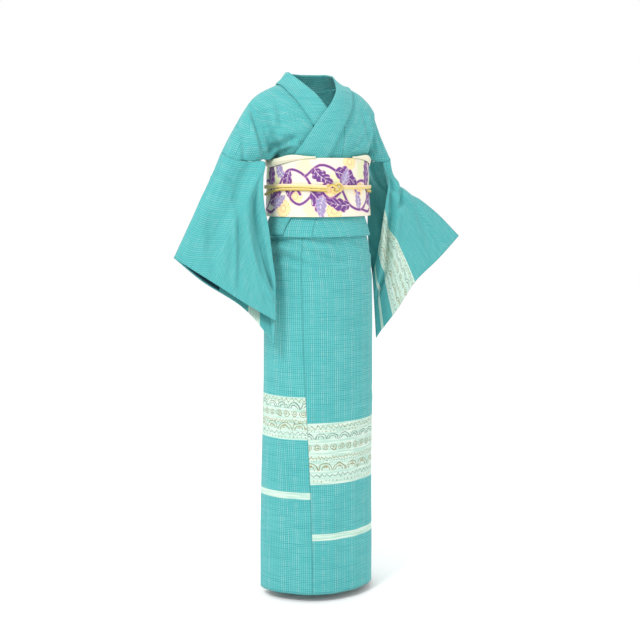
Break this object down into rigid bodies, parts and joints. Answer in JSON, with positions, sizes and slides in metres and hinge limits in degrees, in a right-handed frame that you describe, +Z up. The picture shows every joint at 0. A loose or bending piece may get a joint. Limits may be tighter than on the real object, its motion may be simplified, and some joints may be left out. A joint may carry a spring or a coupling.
{
  "type": "kimono with obi",
  "caption": "Woman's kimono as worn, hollow, left front over right, folded up at the waist and tied with an obi, its scarf and its cord",
  "frame": {"origin": "on the body's axis at the height of the nape, where the wearer's neck and shoulders hold the garment", "axes": "+Z up, -Y is the garment's front, +X is the wearer's left"},
  "size_m": [0.7845, 0.2453, 1.294],
  "materials": {
    "teal_weave": "plain woven check, matte",
    "navy_lining": "smooth thin cloth, matte",
    "obi_brocade": "woven figured band, matte",
    "obiage_silk": "soft silk, satin",
    "obijime_braid": "braided silk cord, satin"
  },
  "bodies": {
    "root": {"right_front": "teal_weave", "right_back": "teal_weave", "right_okumi": "teal_weave", "right_sleeve": "teal_weave", "right_cuff_lining": "navy_lining", "left_front": "teal_weave", "left_back": "teal_weave", "left_okumi": "teal_weave", "left_sleeve": "teal_weave", "left_cuff_lining": "navy_lining", "collar": "teal_weave", "obi": "obi_brocade", "obiage": "obiage_silk", "obijime": "obijime_braid", "obijime_end_right": "obijime_braid", "obijime_end_left": "obijime_braid", "obijime_knot": "obijime_braid"}
  },
  "joints": []
}
